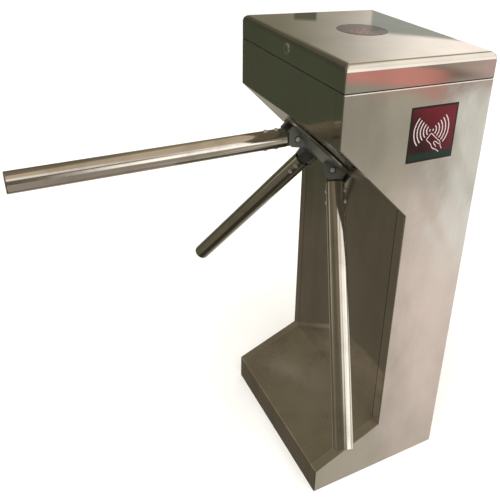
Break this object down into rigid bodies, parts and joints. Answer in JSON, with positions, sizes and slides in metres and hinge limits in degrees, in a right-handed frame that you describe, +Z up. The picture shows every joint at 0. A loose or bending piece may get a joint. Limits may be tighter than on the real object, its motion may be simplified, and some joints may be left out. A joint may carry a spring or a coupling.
{
  "type": "visitor counter turnstile",
  "caption": "Upright stainless tripod turnstile with drop arms, a counting mechanism under a locking lid, a card reader window and a round indicator.",
  "frame": {"origin": "floor level at the middle of the cabinet's footprint, which is also the middle of the anchor bolt pattern", "axes": "+Z up; -X is the passage side that the arms bar; -Y is the face with the reader, which visitors meet; +X is the closed back"},
  "size_m": [0.8382, 0.77, 0.9803],
  "materials": {
    "brushed_stainless": "brushed satin stainless sheet",
    "polished_stainless": "polished stainless tube",
    "cast_alloy": "dark grey cast, satin",
    "zinc_steel": "zinc plated",
    "machined_steel": "machined",
    "machined_aluminium": "machined",
    "lock_chrome": "chrome plated",
    "reader_red": "gloss acrylic, printed behind",
    "indicator_dark": "smoked acrylic",
    "black_plastic": "moulded",
    "circuit_green": "circuit board",
    "psu_metal": "perforated sheet case",
    "white_print": "screen-printed ink",
    "led_red": "lit light-emitting diodes",
    "black_rubber": "moulded rubber"
  },
  "bodies": {
    "frame": {"base_plate": "zinc_steel", "front_plate": "brushed_stainless", "rear_plate": "brushed_stainless", "back_panel": "brushed_stainless", "passage_panel": "brushed_stainless", "hub_panel": "brushed_stainless", "recess_panel": "brushed_stainless", "foot_cover": "brushed_stainless", "lid_seal": "black_rubber", "hinge_leaf_fixed": "brushed_stainless", "reader_window": "reader_red", "reader_module": "black_plastic", "mechanism_plate": "zinc_steel", "bearing_housing": "machined_aluminium", "bearings": "machined_steel", "pivot_posts": "zinc_steel", "return_springs": "machined_steel", "gate_solenoids": "zinc_steel", "damper_body": "machined_aluminium", "counter_sensors": "black_plastic", "release_solenoid": "zinc_steel", "mechanism_bolts": "zinc_steel", "control_board": "circuit_green", "power_supply": "psu_metal", "cable_grommet": "black_rubber"},
    "lid": {"lid": "brushed_stainless", "hinge_leaf_moving": "brushed_stainless", "hinge_pin": "machined_steel", "indicator_window": "indicator_dark", "indicator_board": "circuit_green", "lock_housing": "lock_chrome"},
    "lock": {"lock_barrel": "lock_chrome", "lock_cam": "lock_chrome"},
    "rotor": {"hub_disc": "brushed_stainless", "hub_casting": "cast_alloy", "arm_pins": "polished_stainless", "main_shaft": "machined_steel", "index_disc": "machined_steel", "detent_cam": "machined_steel", "encoder_disc": "machined_steel", "shaft_nut": "zinc_steel"},
    "arm_top": {"arm_top_tube": "polished_stainless", "arm_top_root": "cast_alloy", "arm_top_screws": "zinc_steel", "arm_top_cap": "polished_stainless"},
    "arm_far": {"arm_far_tube": "polished_stainless", "arm_far_root": "cast_alloy", "arm_far_screws": "zinc_steel", "arm_far_cap": "polished_stainless"},
    "arm_near": {"arm_near_tube": "polished_stainless", "arm_near_root": "cast_alloy", "arm_near_screws": "zinc_steel", "arm_near_cap": "polished_stainless"},
    "pawl_front": {"pawl_front": "machined_steel"},
    "pawl_rear": {"pawl_rear": "machined_steel"},
    "plunger_front": {"plunger_front": "machined_steel"},
    "plunger_rear": {"plunger_rear": "machined_steel"},
    "detent_lever": {"detent_lever": "zinc_steel"},
    "detent_roller": {"detent_roller": "machined_steel"},
    "release_rod": {"release_rod": "machined_steel"}
  },
  "joints": [
    {"name": "rotor_spin", "type": "hinge", "parent": "frame", "child": "rotor", "pos_m": [-0.0825, 0, 0.749], "axis": [-0.7071, 0, -0.7071], "continuous": true},
    {"name": "arm_top_drop", "type": "hinge", "parent": "rotor", "child": "arm_top", "pos_m": [-0.14396, 0, 0.77989], "axis": [0, -1, 0], "range_deg": [0, 90]},
    {"name": "arm_far_drop", "type": "hinge", "parent": "rotor", "child": "arm_far", "pos_m": [-0.0747, 0.05655, 0.71063], "axis": [-0.6124, 0.5, 0.6124], "range_deg": [0, 44]},
    {"name": "arm_near_drop", "type": "hinge", "parent": "rotor", "child": "arm_near", "pos_m": [-0.0747, -0.05655, 0.71063], "axis": [0.6124, 0.5, -0.6124], "range_deg": [0, 44]},
    {"name": "lid_hinge", "type": "hinge", "parent": "frame", "child": "lid", "pos_m": [0.1685, 0, 0.931], "axis": [0, 1, 0], "range_deg": [0, 100]},
    {"name": "lock_turn", "type": "hinge", "parent": "lid", "child": "lock", "pos_m": [-0.165, 0, 0.957], "axis": [-1, 0, 0], "range_deg": [0, 90]},
    {"name": "pawl_front_swing", "type": "hinge", "parent": "frame", "child": "pawl_front", "pos_m": [-0.0726, -0.086, 0.83244], "axis": [0.7071, 0, 0.7071], "range_deg": [0, 8.8], "stiffness_Nm_per_rad": 0.5, "springref_deg": -28.65},
    {"name": "pawl_rear_swing", "type": "hinge", "parent": "frame", "child": "pawl_rear", "pos_m": [-0.0726, 0.086, 0.83244], "axis": [-0.7071, 0, -0.7071], "range_deg": [0, 8.8], "stiffness_Nm_per_rad": 0.5, "springref_deg": -28.65},
    {"name": "plunger_front_slide", "type": "slide", "parent": "frame", "child": "plunger_front", "axis": [0, 1, 0], "range_m": [0, 0.012]},
    {"name": "plunger_rear_slide", "type": "slide", "parent": "frame", "child": "plunger_rear", "axis": [0, -1, 0], "range_m": [0, 0.012]},
    {"name": "detent_swing", "type": "hinge", "parent": "frame", "child": "detent_lever", "pos_m": [0.0271, 0.05, 0.76243], "axis": [0.7071, 0, 0.7071], "range_deg": [-9.2, 0]},
    {"name": "detent_roller_spin", "type": "hinge", "parent": "detent_lever", "child": "detent_roller", "pos_m": [0.01253, 0, 0.76569], "axis": [-0.7071, 0, -0.7071], "continuous": true},
    {"name": "release_slide", "type": "slide", "parent": "frame", "child": "release_rod", "axis": [-0.7071, 0, -0.7071], "range_m": [0, 0.006], "stiffness_N_per_m": 150, "springref_m": -0.01}
  ],
  "couplings": [
    {"joint": "plunger_front_slide", "follows": "pawl_front_swing", "m_per_rad": 0.078},
    {"joint": "plunger_rear_slide", "follows": "pawl_rear_swing", "m_per_rad": 0.078}
  ]
}
